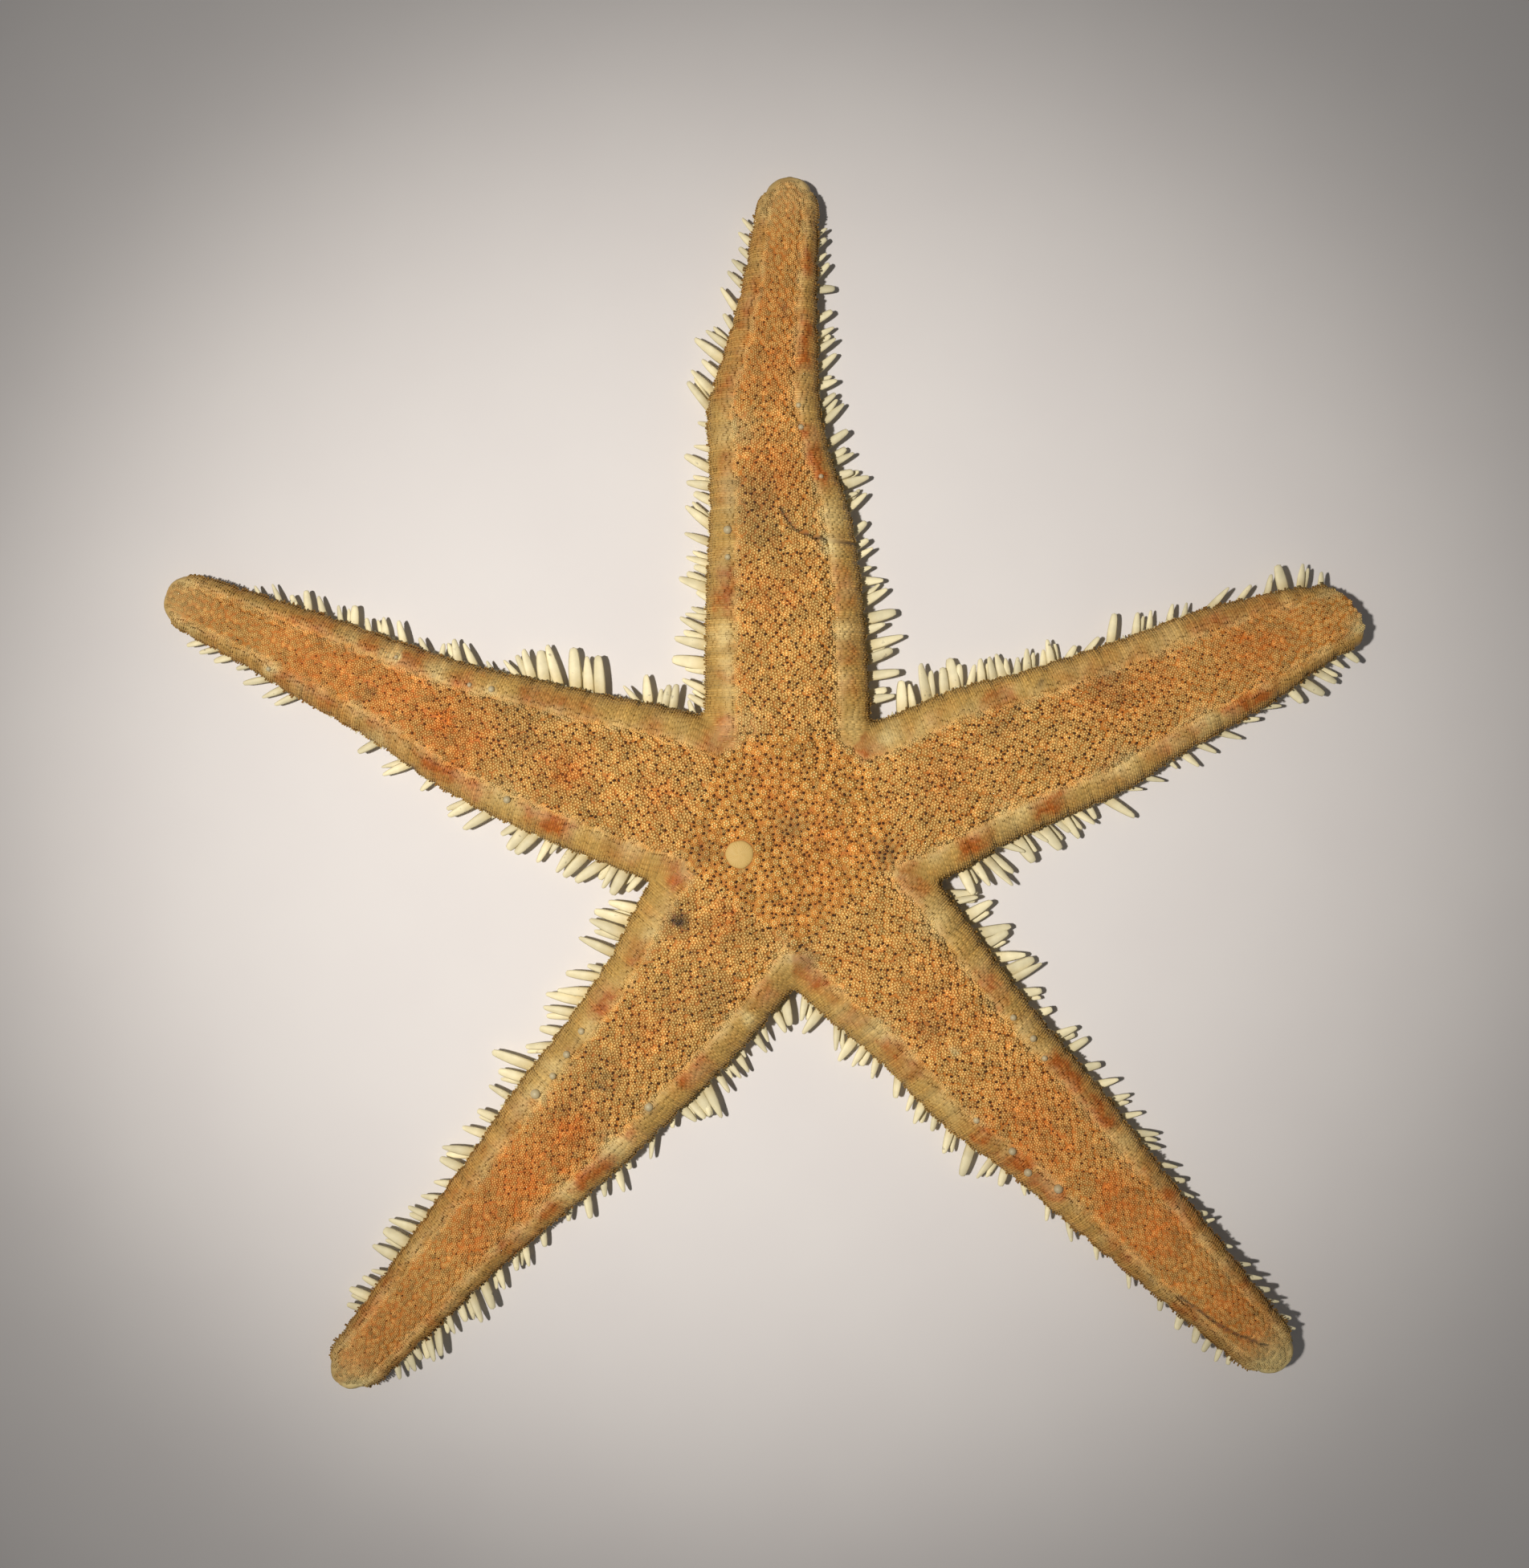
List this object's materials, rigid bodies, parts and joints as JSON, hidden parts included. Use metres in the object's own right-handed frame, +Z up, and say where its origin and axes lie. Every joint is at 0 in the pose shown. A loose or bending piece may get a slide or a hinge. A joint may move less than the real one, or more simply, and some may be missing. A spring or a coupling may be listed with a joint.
{
  "type": "dried starfish",
  "caption": "Dried comb star lying flat, with slender ochre arms edged in pale flat spines and one arm broken off at its end.",
  "frame": {"origin": "on the surface that the star rests on, under the middle of its box", "axes": "+Z up out of the star's upper side, +Y along the back arm, with the broken arm towards +X"},
  "size_m": [0.1657, 0.1666, 0.0091],
  "materials": {
    "dried_star": "matt, granular"
  },
  "bodies": {
    "root": {"starfish": "dried_star"}
  },
  "joints": []
}
